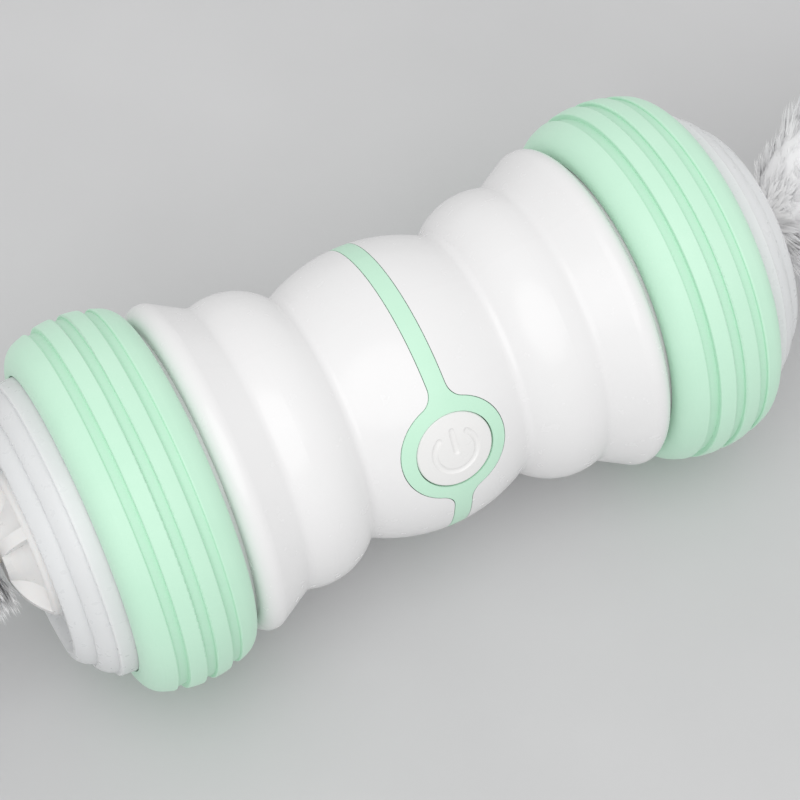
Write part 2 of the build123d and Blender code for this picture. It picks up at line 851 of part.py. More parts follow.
with BuildPart() as motor_can:
    extrude(motor_outline(axial(motor_x0, *motor_axis), 0), amount=motor_length)
    extrude(
        motor_outline(axial(motor_x0, *motor_axis), motor_case),
        amount=motor_length - motor_case,
        mode=Mode.SUBTRACT,
    )
    post(axial(plate_x0, *motor_axis), motor_front_boss_radius, motor_front_boss_length)
    drill(
        axial(plate_x0 - motor_case, *motor_axis),
        motor_shaft_radius + running_clearance,
        motor_case + motor_front_boss_length,
    )
    for place in motor_screw_places(plate_x0 - motor_case):
        drill(place, small_screw_radius, motor_case)

with BuildPart() as motor_end_cap:
    extrude(motor_outline(axial(motor_x0 - motor_cap_length, *motor_axis), 0), amount=motor_cap_length)
    extrude(
        motor_outline(axial(motor_x0, *motor_axis), motor_case + seat_gap),
        amount=motor_cap_plug,
    )
    drill(
        axial(motor_x0 - motor_cap_length / 2, *motor_axis),
        motor_shaft_radius + running_clearance,
        motor_cap_length / 2 + motor_cap_plug,
    )

with BuildPart() as motor_terminals:
    terminal_plane = axial(motor_x0 - motor_cap_length - terminal_length, *motor_axis)
    with BuildSketch(terminal_plane):
        with Locations(polar(terminal_spacing / 2, motor_angle + 90)):
            Rectangle(terminal_thickness, terminal_width, rotation=motor_angle + 90)
        with Locations(polar(-terminal_spacing / 2, motor_angle + 90)):
            Rectangle(terminal_thickness, terminal_width, rotation=motor_angle + 90)
    extrude(amount=terminal_length)

with BuildPart() as motor_rotor:
    rotor_x0 = motor_x0 - motor_cap_length / 2 + running_clearance
    armature_x0 = plate_x0 - motor_length / 2 - armature_length / 2
    post(axial(rotor_x0, *motor_axis), motor_shaft_radius, cluster_gear_x1 - rotor_x0)
    post(axial(armature_x0, *motor_axis), armature_radius, armature_length)

with BuildPart() as motor_pinion:
    pinion_x0 = plate_x1 + gear_gap / 2
    phase = motor_angle + 180 + half_pitch
    length = cluster_gear_x1 - pinion_x0
    gear_wheel(axial(pinion_x0, *motor_axis), small_teeth, phase, length, motor_shaft_radius)

with BuildPart() as motor_screws:
    for place in motor_screw_places(plate_x1):
        screw(
            place,
            small_screw_radius,
            small_screw_length,
            small_screw_head_radius,
            small_screw_head_height,
        )

# Chassis, cell and boards

board_screw_x = board_length / 2 - board_screw_inset
board_screw_places = (-board_screw_x, board_screw_x)

with BuildPart() as chassis:
    with BuildSketch(Plane.XY.offset(axle_z)):
        with Locations((0, (deck_back - deck_front) / 2)):
            Rectangle(2 * deck_end_x, deck_front + deck_back)
        for side in (1, -1):
            for y in (-tab_front, tab_back):
                with Locations((side * (deck_end_x + tab_length / 2), y)):
                    Rectangle(tab_length, tab_width)
    extrude(amount=deck_thickness)
    for x in (-clip_spacing / 2, clip_spacing / 2):
        with BuildSketch(axial(x - clip_width / 2, cell_offset, cell_angle)):
            Circle(cell_radius + clip_clearance + clip_wall)
            Circle(cell_radius + clip_clearance, mode=Mode.SUBTRACT)
            with BuildLine():
                mouth = 4 * cell_radius
                Polyline(
                    (0, 0),
                    polar(mouth, cell_angle - clip_mouth / 2),
                    polar(mouth, cell_angle),
                    polar(mouth, cell_angle + clip_mouth / 2),
                    (0, 0),
                )
            make_face(mode=Mode.SUBTRACT)
        extrude(amount=clip_width)
    across = cos(radians(button_angle))
    up = sin(radians(button_angle))
    for x in board_screw_places:
        with BuildSketch(axial(x - gusset_post_width / 2)):
            with BuildLine():
                Polyline(
                    (-deck_front, deck_thickness / 2),
                    (-board_back * across - board_seat_low * up, board_back * up - board_seat_low * across),
                    (-board_back * across + board_seat_high * up, board_back * up + board_seat_high * across),
                    (gusset_foot - deck_front, deck_thickness / 2),
                    (-deck_front, deck_thickness / 2),
                )
            make_face()
        extrude(amount=gusset_post_width)
        drill(button_plane(board_back, x), small_screw_radius, -small_screw_length)

with BuildPart() as main_board:
    with BuildSketch(button_plane(board_back)):
        Rectangle(board_length, board_width)
        with Locations(*[(x, 0) for x in board_screw_places]):
            Circle(small_screw_radius + screw_clearance, mode=Mode.SUBTRACT)
    extrude(amount=board_thickness)

with BuildPart() as board_screws:
    for x in board_screw_places:
        screw(
            button_plane(board_front, x),
            small_screw_radius,
            small_screw_length,
            small_screw_head_radius,
            small_screw_head_height,
        )

with BuildPart() as push_switch:
    with BuildSketch(button_plane(board_front)):
        Rectangle(switch_side, switch_side)
    extrude(amount=switch_height)
    drill(
        button_plane(switch_front),
        plunger_radius + running_clearance,
        -(plunger_depth + button_travel + running_clearance),
    )

with BuildPart() as switch_plunger:
    post(button_plane(switch_front - plunger_depth), plunger_radius, plunger_depth + plunger_height)

with BuildPart() as control_chip:
    with BuildSketch(button_plane(board_front, chip_shift)):
        Rectangle(chip_length, chip_width)
    extrude(amount=chip_height)

with BuildPart() as indicator_lamp:
    with BuildSketch(button_plane(board_front, lamp_shift)):
        Rectangle(lamp_length, lamp_width)
    extrude(amount=lamp_height)

with BuildPart() as cell:
    post(axial(-cell_length / 2, cell_offset, cell_angle), cell_radius, cell_length)
    post(axial(cell_length / 2, cell_offset, cell_angle), cell_cap_radius, cell_cap_height)

with BuildPart() as charge_board:
    with BuildSketch(Plane.XY.offset(axle_z + deck_thickness)):
        with Locations((socket_shift, deck_back - charge_board_width / 2)):
            Rectangle(charge_board_length, charge_board_width)
    extrude(amount=board_thickness)

with BuildPart() as charge_socket:
    socket_back = Plane(
        origin=(socket_shift, socket_mouth_y - socket_depth, axle_z + socket_rise),
        x_dir=(1, 0, 0),
        z_dir=(0, 1, 0),
    )
    with BuildSketch(socket_back):
        SlotOverall(socket_width, socket_height)
    extrude(amount=socket_depth)
    with BuildSketch(socket_back.offset(socket_case)):
        SlotOverall(socket_width - 2 * socket_case, socket_height - 2 * socket_case)
    extrude(amount=socket_depth - socket_case, mode=Mode.SUBTRACT)
    with BuildSketch(socket_back):
        Rectangle(socket_width - socket_height, socket_tongue)
    extrude(amount=socket_depth - socket_height / 2)

# Output: one file for each piece, with the sided pieces mirrored for the left end

pieces = {
    "left_shell": left_shell.part,
    "right_shell": right_shell.part,
    "centre_band": centre_band.part,
    "power_button": power_button.part,
    "chassis": chassis.part,
    "main_board": main_board.part,
    "board_screws": board_screws.part,
    "push_switch": push_switch.part,
    "switch_plunger": switch_plunger.part,
    "control_chip": control_chip.part,
    "indicator_lamp": indicator_lamp.part,
    "cell": cell.part,
    "charge_board": charge_board.part,
    "charge_socket": charge_socket.part,
}
sided_pieces = {
    "tyre": tyre.part,
    "wheel_rim": wheel_rim.part,
    "output_shaft": output_shaft.part,
    "shaft_screw": shaft_screw.part,
    "hub_cap": hub_cap.part,
    "hub_cap_screws": hub_cap_screws.part,
    "feather_holder": feather_holder.part,
    "feather_quill": feather_quill.part,
    "feather_plume": feather_plume.part,
    "output_gear": output_gear.part,
    "cluster_gear": cluster_gear.part,
    "idler_gear": idler_gear.part,
    "idler_pin": idler_pin.part,
    "shaft_bush": shaft_bush.part,
    "gear_plate": gear_plate.part,
    "gear_plate_screws": gear_plate_screws.part,
    "motor_can": motor_can.part,
    "motor_end_cap": motor_end_cap.part,
    "motor_terminals": motor_terminals.part,
    "motor_rotor": motor_rotor.part,
    "motor_pinion": motor_pinion.part,
    "motor_screws": motor_screws.part,
}
for name, piece in sided_pieces.items():
    pieces[f"right_{name}"] = piece
    pieces[f"left_{name}"] = mirror(piece, about=Plane.YZ)

os.makedirs("parts", exist_ok=True)
for name, piece in pieces.items():
    piece.label = name
    export_step(piece, f"parts/{name}.step")
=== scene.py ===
"""Looks of the automatic rotating cat toy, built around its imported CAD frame."""
import json
import math
import random

import bpy
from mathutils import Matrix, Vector


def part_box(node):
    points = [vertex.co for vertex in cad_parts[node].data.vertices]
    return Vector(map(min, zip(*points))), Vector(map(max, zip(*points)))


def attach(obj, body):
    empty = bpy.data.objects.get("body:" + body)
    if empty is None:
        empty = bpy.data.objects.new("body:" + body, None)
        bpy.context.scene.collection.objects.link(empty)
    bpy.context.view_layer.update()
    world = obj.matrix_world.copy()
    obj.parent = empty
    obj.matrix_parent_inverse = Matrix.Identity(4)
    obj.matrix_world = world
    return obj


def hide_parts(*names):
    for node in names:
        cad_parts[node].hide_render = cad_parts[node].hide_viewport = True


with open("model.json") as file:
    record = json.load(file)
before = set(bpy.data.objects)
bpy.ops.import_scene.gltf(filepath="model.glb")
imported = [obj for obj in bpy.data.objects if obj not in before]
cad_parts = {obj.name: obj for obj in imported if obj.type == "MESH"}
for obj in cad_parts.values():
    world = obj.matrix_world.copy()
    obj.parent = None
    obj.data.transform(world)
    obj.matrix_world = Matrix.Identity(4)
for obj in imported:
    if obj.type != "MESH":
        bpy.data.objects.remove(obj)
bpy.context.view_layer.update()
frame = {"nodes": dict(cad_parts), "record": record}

MM = 0.001
SIDES = {"left": -1, "right": 1}

# Upright part of a unit vector from which it counts as steep
steep = 0.9

# Camera, from the fit of the wheels, the band and the button in the photograph
camera_target = Vector((-0.3, -2.7, 30.0)) * MM
camera_distance = 383.4 * MM
camera_azimuth = math.radians(-27.09)
camera_elevation = math.radians(57.44)
camera_lens = 110.5
camera_sensor = 36.0
camera_clip_start = 10 * MM

# Floor and light
floor_size = 8.0
floor_tones = ((0.58, 0.58, 0.585), (0.62, 0.62, 0.625))
world_colour = (1.0, 1.0, 1.0)
world_strength = 0.74
key_place = Vector((-0.28, -0.52, 1.0))
key_aim = Vector((0, 0, 30 * MM))
key_size = 1.4
key_watts = 6.1

# Values that the noise texture rarely leaves
noise_low = 0.3
noise_high = 0.7

# Sockets of a colour mix node, by number because several share a name
mix_factor = 0
mix_first = 6
mix_second = 7
mix_result = 2

# Mint of the band and the tyres, and the pale dust on the tyres
mint_tones = ((0.56, 0.855, 0.665), (0.60, 0.885, 0.70))
mint_dust = (0.80, 0.92, 0.86)

# Tread grooves of each tyre, as in its solid, and the painted shade on their floors: its darker mint and
# how strongly it is mixed in
groove_pitch = 4.3 * MM
groove_width = 1.6 * MM
groove_offset = -0.15 * MM
groove_shade_tone = (0.52, 0.81, 0.625)
groove_shade_strength = 0.75

# Moulded plastics: darkest and lightest tone, roughness, and the depth of waviness and grain in millimetres
moulded_finishes = {
    "shell_white": dict(tones=((0.845, 0.84, 0.842), (0.865, 0.861, 0.863)),
                        rough=(0.20, 0.28), wave=0.004, grain=0.0004),
    "mint_band": dict(tones=mint_tones, rough=(0.32, 0.42), wave=0.010, grain=0.003),
    "button_white": dict(tones=((0.845, 0.84, 0.832), (0.868, 0.864, 0.857)),
                         rough=(0.26, 0.36), wave=0.004, grain=0.001),
    "holder_white": dict(tones=((0.845, 0.838, 0.828), (0.87, 0.864, 0.855)),
                         rough=(0.26, 0.36), wave=0.006, grain=0.002, Subsurface_Weight=0.15,
                         Subsurface_Radius=(1.0, 0.8, 0.7), Subsurface_Scale=1.2 * MM),
    "quill_ivory": dict(tones=((0.74, 0.70, 0.60), (0.80, 0.77, 0.68)),
                        rough=(0.34, 0.48), wave=0.01, grain=0.006),
    "rim_white": dict(tones=((0.74, 0.74, 0.75), (0.79, 0.79, 0.80)),
                      rough=(0.30, 0.42), wave=0.015, grain=0.005),
    "gear_plastic": dict(tones=((0.78, 0.76, 0.70), (0.83, 0.81, 0.76)),
                         rough=(0.35, 0.48), wave=0.01, grain=0.005),
    "dark_plastic": dict(tones=((0.018, 0.018, 0.02), (0.03, 0.03, 0.033)),
                         rough=(0.35, 0.5), wave=0.01, grain=0.008),
    "cell_wrap": dict(tones=((0.05, 0.16, 0.38), (0.07, 0.20, 0.44)),
                      rough=(0.25, 0.36), wave=0.02, grain=0.003),
    "chassis_grey": dict(tones=((0.34, 0.35, 0.36), (0.40, 0.41, 0.42)),
                         rough=(0.38, 0.5), wave=0.012, grain=0.008),
}

# Metals: darkest and lightest tone, roughness, and the stretch that makes their lines
drawn_lines = (0.15, 1.0, 1.0)
turned_lines = (1.0, 0.2, 0.2)
metal_finishes = {
    "steel": dict(tones=((0.50, 0.51, 0.53), (0.60, 0.61, 0.63)),
                  rough=(0.22, 0.36), stretch=drawn_lines),
    "motor_steel": dict(tones=((0.44, 0.45, 0.46), (0.54, 0.55, 0.56)),
                        rough=(0.28, 0.42), stretch=drawn_lines),
    "brass": dict(tones=((0.60, 0.43, 0.17), (0.70, 0.52, 0.23)),
                  rough=(0.24, 0.36), stretch=turned_lines),
}

# Plume: its swell along its length, as in its solid. The feather tables hold (share of the length, value)
plume_seeds = {"left": 41, "right": 42}
plume_swell = [(0.0, 0.42), (0.06, 0.61), (0.12, 0.78), (0.20, 0.94), (0.28, 1.0), (0.40, 0.95),
               (0.55, 0.82), (0.70, 0.63), (0.82, 0.46), (0.92, 0.28), (1.0, 0.12)]
slope_step = 0.02

# Rachis: the stiff stem inside the plume
rachis_share = 0.90
rachis_root_radius = 0.8 * MM
rachis_tip_radius = 0.12 * MM
rachis_steps = 14
rachis_sides = 8

# Heart: the matted middle of the plume, as a share of its swell, with lumps that wind round it
core_fill = [(0.0, 0.55), (0.03, 0.82), (0.07, 0.92), (1.0, 0.92)]
core_rings = 48
core_sides = 44
core_lump = 0.10
lump_count = 6
lump_folds = (2, 5)
lump_pitch = (6, 20)

# Tufts: where they grow, with turns in radians, how many lie down, and how far they stand out of the heart
tuft_count = 930
tuft_steps = 5
tuft_last = 0.96
tuft_crowding = 1.25
golden_angle = 2.399963
turn_scatter = 0.4
lying_share = 0.76
lying_stand = 0.34
lying_curl = 0.3
thin_side_lying = [(0.0, 0.0), (0.10, 0.2), (0.2, 1.0), (1.0, 1.0)]
tuft_stand = 3.6 * MM
tuft_stand_change = 1.6 * MM
stand_range = (0.65, 1.15)
least_stand = 1.5 * MM
full_side_reach = [(0.0, 0.30), (0.08, 0.55), (0.17, 1.0), (0.75, 1.0), (1.0, 0.35)]
thin_side_reach = [(0.0, 1.5), (0.12, 1.2), (0.2, 1.0), (0.75, 1.0), (1.0, 0.35)]
root_depth = 0.96
heart_cover = 0.88
least_sine = 0.27

# Angles of the tufts in degrees: a lying one's from the surface, a standing one's from the axle
lying_lift = [(0.0, 24.0), (0.10, 17.0), (0.25, 12.0), (1.0, 10.0)]
standing_lean = [(0.0, 62.0), (0.12, 58.0), (0.5, 42.0), (0.85, 26.0), (1.0, 12.0)]
fringe_lean = [(0.0, 98.0), (0.05, 84.0), (0.15, 60.0), (0.5, 42.0), (0.85, 26.0), (1.0, 12.0)]
lean_scatter = 7
curl_range = (-24, 6)
twist_scatter = 16

# Blades: the soft strips that fan out in each tuft, with the scatter of the fan in degrees
blade_count = 9
blade_width = 0.95 * MM
blade_fan = math.radians(21)
blade_crown = 0.22
blade_taper = [(0.0, 0.6), (0.3, 1.0), (0.65, 0.75), (1.0, 0.2)]
blade_range = (0.68, 1.08)
blade_lift = 0.10
fan_scatter = 5

# Barbules: the fine fibres along the middle of each tuft, with angles in degrees
barbule_count = 16
barbule_last = 0.9
barbule_length = 4.2 * MM
barbule_width = 0.11 * MM
barbule_knee_width = 0.8
barbule_reach = [(0.0, 0.9), (0.3, 1.0), (0.7, 0.62), (1.0, 0.22)]
barbule_range = (0.6, 1.15)
barbule_least = 0.4
barbule_open = (28, 11)
open_scatter = 10
barbule_close = (-0.1, 0.5)
facing_scatter = 0.3


def lerp(a, b, t):
    return a + (b - a) * t


def curve_value(points, t):
    """Value at t on the broken line through points, a list of (t, value)."""
    for (t0, v0), (t1, v1) in zip(points, points[1:]):
        if t <= t1:
            return lerp(v0, v1, (t - t0) / (t1 - t0))
    return points[-1][1]


class Finish:
    """A node material on one principled shader, with textures in metres of the object."""

    def __init__(self, name, **sockets):
        self.material = bpy.data.materials.new(name)
        self.material.use_nodes = True
        self.tree = self.material.node_tree
        self.shader = self.tree.nodes["Principled BSDF"]
        self.place = self.tree.nodes.new("ShaderNodeTexCoord").outputs["Object"]
        for socket, value in sockets.items():
            self.feed(self.shader.inputs[socket.replace("_", " ")], value)

    def feed(self, target, value):
        """Links another node's socket to target, or sets a plain value on it."""
        if isinstance(value, bpy.types.NodeSocket):
            self.tree.links.new(value, target)
        else:
            target.default_value = value

    def node(self, kind, **inputs):
        made = self.tree.nodes.new(kind)
        for socket, value in inputs.items():
            self.feed(made.inputs[socket.replace("_", " ")], value)
        return made

    def noise(self, grain, detail=3.0, rough=0.5, stretch=(1, 1, 1)):
        """Noise whose features are about grain millimetres across, from 0 to 1."""
        moved = self.node("ShaderNodeMapping", Vector=self.place, Scale=stretch)
        made = self.node("ShaderNodeTexNoise", Vector=moved.outputs["Vector"],
                         Scale=1.0 / (grain * MM), Detail=detail, Roughness=rough)
        return made.outputs["Fac"]

    def math(self, operation, *values):
        made = self.tree.nodes.new("ShaderNodeMath")
        made.operation = operation
        for target, value in zip(made.inputs, values):
            self.feed(target, value)
        return made.outputs["Value"]

    def spread(self, value, low, high, start=noise_low, end=noise_high):
        """Maps value from start and end to low and high."""
        made = self.node("ShaderNodeMapRange", Value=value,
                         From_Min=start, From_Max=end, To_Min=low, To_Max=high)
        return made.outputs["Result"]

    def tones(self, value, dark, light, start=noise_low, end=noise_high):
        """Colour from dark, where value is start, to light, where it is end."""
        made = self.node("ShaderNodeValToRGB", Fac=value)
        for element, position, colour in zip(made.color_ramp.elements, (start, end), (dark, light)):
            element.position = position
            element.color = (*colour, 1.0)
        return made.outputs["Color"]

    def blend(self, factor, colour, tone):
        """Colour moved towards one tone by factor."""
        made = self.tree.nodes.new("ShaderNodeMix")
        made.data_type = "RGBA"
        for number, value in ((mix_factor, factor), (mix_first, colour), (mix_second, (*tone, 1.0))):
            self.feed(made.inputs[number], value)
        return made.outputs[mix_result]

    def colour(self, socket):
        self.feed(self.shader.inputs["Base Color"], socket)

    def rough(self, socket):
        self.feed(self.shader.inputs["Roughness"], socket)

    def relief(self, *layers):
        """Bump from layers of (height socket, depth in millimetres), coarse ones first."""
        normal = None
        for height, depth in layers:
            made = self.node("ShaderNodeBump", Height=height, Strength=1.0, Distance=depth * MM)
            if normal:
                self.feed(made.inputs["Normal"], normal)
            normal = made.outputs["Normal"]
        self.feed(self.shader.inputs["Normal"], normal)


def moulded(name, tones, rough, wave, grain, **sockets):
    """Moulded plastic: faint tone drift, uneven gloss, a slow mould waviness and a fine grain."""
    made = Finish(name, **sockets)
    made.colour(made.tones(made.noise(grain=16.0), *tones))
    made.rough(made.spread(made.noise(grain=2.2, detail=4.0), *rough))
    made.relief((made.noise(grain=5.0, detail=1.0), wave),
                (made.noise(grain=0.35, detail=5.0, rough=0.6), grain))
    return made.material


def metal(name, tones, rough, stretch):
    """Drawn or turned metal: fine lines along one direction and uneven gloss."""
    made = Finish(name, Metallic=1.0)
    lines = made.noise(grain=0.6, detail=4.0, rough=0.6, stretch=stretch)
    made.colour(made.tones(lines, *tones))
    made.rough(made.spread(lines, *rough))
    made.relief((lines, 0.004))
    return made.material


def tread(name):
    """Soft moulded tyre: dusty and finely grained, with painted shade darkening the floors of its grooves.
    """
    made = Finish(name, Sheen_Weight=0.15, Sheen_Roughness=0.4)
    low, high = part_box("right_tyre")
    middle = (low.x + high.x) / 2 + groove_offset
    place = made.node("ShaderNodeSeparateXYZ", Vector=made.place)
    across = made.math("ABSOLUTE", place.outputs["X"])
    # Mask of the groove floors, where shade is painted
    groove_shade_mask = None
    for step in (-1, 0, 1):
        floor = made.math("COMPARE", across, middle + step * groove_pitch, groove_width / 2)
        groove_shade_mask = made.math("ADD", groove_shade_mask, floor) if groove_shade_mask else floor
    colour = made.tones(made.noise(grain=16.0), *mint_tones)
    dust = made.spread(made.noise(grain=0.55, detail=2.0), low=0.0, high=0.25, start=0.70, end=0.78)
    colour = made.blend(dust, colour, mint_dust)
    # Painted shade: the groove floors are mixed towards a darker mint that stands in for the shade inside
    # the grooves
    made.colour(made.blend(made.math("MULTIPLY", groove_shade_mask, groove_shade_strength), colour, groove_shade_tone))
    made.rough(made.spread(made.noise(grain=2.2, detail=4.0), low=0.46, high=0.60))
    made.relief((made.noise(grain=5.0, detail=1.0), 0.020),
                (made.noise(grain=0.4, detail=5.0, rough=0.6), 0.012))
    return made.material


def frosted(name):
    """Frosted milky plastic with a satin face, that lets light into its depth."""
    made = Finish(name, IOR=1.49, Subsurface_Weight=0.6, Subsurface_Radius=(1.0, 1.0, 1.0),
                  Subsurface_Scale=2.0 * MM)
    made.colour(made.tones(made.noise(grain=14.0), dark=(0.735, 0.748, 0.754), light=(0.76, 0.772, 0.778)))
    made.rough(made.spread(made.noise(grain=1.6, detail=4.0), low=0.26, high=0.34))
    made.relief((made.noise(grain=6.0, detail=1.0), 0.003))
    return made.material


def feathered(name):
    """Down: matt fibres with a soft sheen and a faint change of tone from place to place."""
    made = Finish(name, Sheen_Weight=0.25, Sheen_Roughness=0.5, Specular_IOR_Level=0.2)
    made.colour(made.tones(made.noise(grain=5.0), dark=(0.93, 0.93, 0.937), light=(0.96, 0.96, 0.964)))
    made.rough(made.spread(made.noise(grain=0.8), low=0.7, high=0.9))
    made.relief((made.noise(grain=0.15), 0.004))
    return made.material


def board(name):
    """Solder-masked circuit board with a faint weave and tracks."""
    made = Finish(name)
    weave = made.noise(grain=0.3, detail=2.0, stretch=(1.0, 4.0, 1.0))
    tracks = made.tones(made.noise(grain=2.6, detail=0.0), dark=(0.012, 0.10, 0.045),
                        light=(0.02, 0.16, 0.07), start=0.47, end=0.53)
    made.colour(made.blend(made.spread(weave, low=0.0, high=0.25), tracks, tone=(0.03, 0.2, 0.1)))
    made.rough(made.spread(weave, low=0.25, high=0.4))
    made.relief((weave, 0.01))
    return made.material


def lamp_lens(name):
    """Clear tinted lens of the indicator."""
    made = Finish(name, Transmission_Weight=0.8, IOR=1.5)
    drift = made.noise(grain=1.0, detail=2.0)
    made.colour(made.tones(drift, dark=(0.80, 0.92, 0.86), light=(0.88, 0.97, 0.92)))
    made.rough(made.spread(drift, low=0.08, high=0.16))
    made.relief((drift, 0.004))
    return made.material


def make_materials():
    """One material for each material slot of the record, by its name."""
    made = {name: moulded(name, **finish) for name, finish in moulded_finishes.items()}
    made.update({name: metal(name, **finish) for name, finish in metal_finishes.items()})
    made["mint_silicone"] = tread("mint_silicone")
    made["frosted_cap"] = frosted("frosted_cap")
    made["feather_white"] = feathered("feather_white")
    made["board_green"] = board("board_green")
    made["lamp_clear"] = lamp_lens("lamp_clear")
    return made


def dress_nodes(materials):
    """Every CAD node takes its slot's material."""
    for row in frame["record"]["subparts"]:
        slots = frame["nodes"][row["node"]].data.materials
        material = materials[row["material_slot"]]
        if not slots:
            slots.append(material)
        for index in range(len(slots)):
            slots[index] = material


def mesh_piece(name, verts, faces, materials, slot, body):
    """Smooth mesh that has the material of a slot and rides on a body."""
    mesh = bpy.data.meshes.new(name)
    mesh.from_pydata(verts, [], faces)
    mesh.polygons.foreach_set("use_smooth", [True] * len(mesh.polygons))
    mesh.materials.append(materials[slot])
    mesh.update()
    piece = bpy.data.objects.new(name, mesh)
    bpy.context.scene.collection.objects.link(piece)
    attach(piece, body)
    return piece


def side_axes(direction):
    """Two unit vectors square to direction and to each other."""
    other = Vector((0, 0, 1)) if abs(direction.z) < steep else Vector((0, 1, 0))
    first = direction.cross(other).normalized()
    return first, direction.cross(first)


def radial_at(turn):
    """Unit vector square to the axle, at an angle of turn about it."""
    return Vector((0, math.cos(turn), math.sin(turn)))


class Plume:
    """Place and swell of one side's plume, taken from its solid and from the quill it grows on."""

    def __init__(self, side):
        self.node = f"{side}_feather_plume"
        self.sign = SIDES[side]
        low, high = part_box(self.node)
        quill_low, quill_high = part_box(f"{side}_feather_quill")
        middle = (quill_low + quill_high) / 2
        self.axis = Vector((self.sign, 0, 0))
        self.length = high.x - low.x
        self.radius = (high.y - low.y) / 2
        self.root = Vector((low.x if self.sign > 0 else high.x, middle.y, middle.z))
        self.rise = Vector((0, (low.y + high.y) / 2 - middle.y, (low.z + high.z) / 2 - middle.z))
        self.full_side = self.rise.normalized()

    def centre(self, t):
        return self.root + self.length * t * self.axis + self.rise * curve_value(plume_swell, t)

    def surface(self, t, radial, share):
        """Point on the swell, or within it where share is under 1."""
        return self.centre(t) + self.radius * curve_value(plume_swell, t) * share * radial

    def slope(self, t, radial):
        """Angle in degrees between the surface and the axle."""
        low, high = max(t - slope_step, 0.0), min(t + slope_step, 1.0)
        change = (curve_value(plume_swell, high) - curve_value(plume_swell, low)) / (high - low)
        return math.degrees(math.atan(change * (self.radius + self.rise.dot(radial)) / self.length))


class Tuft:
    """Path of one tuft: its root in the heart, its length, its heading at each step and its middle line."""

    def __init__(self, plume, share, turn, draw):
        t = tuft_last * share ** tuft_crowding
        self.radial = radial_at(turn + draw.uniform(-turn_scatter, turn_scatter))
        self.sidelong = plume.axis.cross(self.radial)
        facing = self.radial.dot(plume.full_side)
        full_share = 0.5 + 0.5 * facing
        lying = draw.random() < lying_share * lerp(curve_value(thin_side_lying, t), 1.0, full_share)
        if lying:
            lean = plume.slope(t, self.radial) + curve_value(lying_lift, t)
        else:
            lean = lerp(curve_value(fringe_lean, t), curve_value(standing_lean, t), full_share)
        lean = math.radians(lean + draw.uniform(-lean_scatter, lean_scatter))
        self.fullness = lerp(curve_value(thin_side_reach, t), curve_value(full_side_reach, t), full_share)
        root_share = root_depth * curve_value(core_fill, t)
        cover = max(heart_cover - root_share, 0.0) * plume.radius * curve_value(plume_swell, t)
        stand = (tuft_stand + tuft_stand_change * facing) * draw.uniform(*stand_range) + least_stand
        rise = cover + self.fullness * (lying_stand if lying else 1.0) * stand
        self.span = rise / max(math.sin(lean), least_sine)
        curl = math.radians(draw.uniform(*curl_range)) * (lying_curl if lying else 1.0)
        twist = math.radians(draw.uniform(-twist_scatter, twist_scatter))
        self.root = plume.surface(t, self.radial, root_share)
        self.headings = []
        self.line = [self.root]
        for step in range(tuft_steps):
            bend = step / tuft_steps
            angle = lean + curl * bend * bend
            swing = twist * bend
            out = math.cos(swing) * self.radial + math.sin(swing) * self.sidelong
            self.headings.append(math.cos(angle) * plume.axis + math.sin(angle) * out)
            self.line.append(self.line[-1] + self.headings[-1] * (self.span / tuft_steps))


def make_plume(side, materials):
    """Soft plume: a rachis, a matted heart and overlapping tufts of blades and fine fibres all over it."""
    draw = random.Random(plume_seeds[side])
    plume = Plume(side)
    body = f"{side}_feather"
    verts, faces = [], []
    add_rachis(verts, faces, plume)
    mesh_piece(f"{side}_feather_rachis", verts, faces, materials, "quill_ivory", body)

    verts, faces = [], []
    add_core(verts, faces, plume, draw)
    for k in range(tuft_count):
        tuft = Tuft(plume, (k + draw.random()) / tuft_count, k * golden_angle, draw)
        for number in range(blade_count):
            add_blade(verts, faces, tuft, number, draw)
        for number in range(barbule_count):
            add_barbule(verts, faces, tuft, number, draw)
    down = mesh_piece(f"{side}_feather_down", verts, faces, materials, "feather_white", body)
    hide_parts(plume.node)


def add_rachis(verts, faces, plume):
    """Closed stem along the middle of the plume, that tapers to a point."""
    points = [plume.centre(rachis_share * k / rachis_steps) for k in range(rachis_steps + 1)]
    points[0] = plume.root
    rings = []
    for k in range(rachis_steps):
        radius = lerp(rachis_root_radius, rachis_tip_radius, k / rachis_steps)
        first, second = side_axes((points[k + 1] - points[max(k - 1, 0)]).normalized())
        rings.append(range(len(verts), len(verts) + rachis_sides))
        for step in range(rachis_sides):
            turn = 2 * math.pi * step / rachis_sides
            verts.append(points[k] + radius * (math.cos(turn) * first + math.sin(turn) * second))
    tip = len(verts)
    verts.append(points[-1])
    faces.append(tuple(rings[0][::-1]))
    for lower, upper in zip(rings, rings[1:]):
        for step in range(rachis_sides):
            after = (step + 1) % rachis_sides
            faces.append((lower[step], lower[after], upper[after], upper[step]))
    for step in range(rachis_sides):
        faces.append((rings[-1][step], rings[-1][(step + 1) % rachis_sides], tip))


def add_core(verts, faces, plume, draw):
    """Soft closed heart of the plume, lumpy like matted down, that the tufts grow out of."""
    lumps = [(draw.uniform(0, 2 * math.pi), draw.randint(*lump_folds), draw.uniform(*lump_pitch))
             for _ in range(lump_count)]
    rings = []
    for ring in range(core_rings + 1):
        t = 0.5 - 0.5 * math.cos(math.pi * ring / core_rings)
        rings.append(range(len(verts), len(verts) + core_sides))
        for step in range(core_sides):
            turn = 2 * math.pi * step / core_sides
            waves = [math.sin(phase + folds * turn + pitch * t) for phase, folds, pitch in lumps]
            share = curve_value(core_fill, t) * (1 + core_lump * (sum(waves) / lump_count))
            verts.append(plume.surface(t, radial_at(turn), share))
    for lower, upper in zip(rings, rings[1:]):
        for step in range(core_sides):
            after = (step + 1) % core_sides
            faces.append((lower[step], lower[after], upper[after], upper[step])[::plume.sign])
    faces.append(tuple(rings[0][::-plume.sign]))
    faces.append(tuple(rings[-1][::plume.sign]))


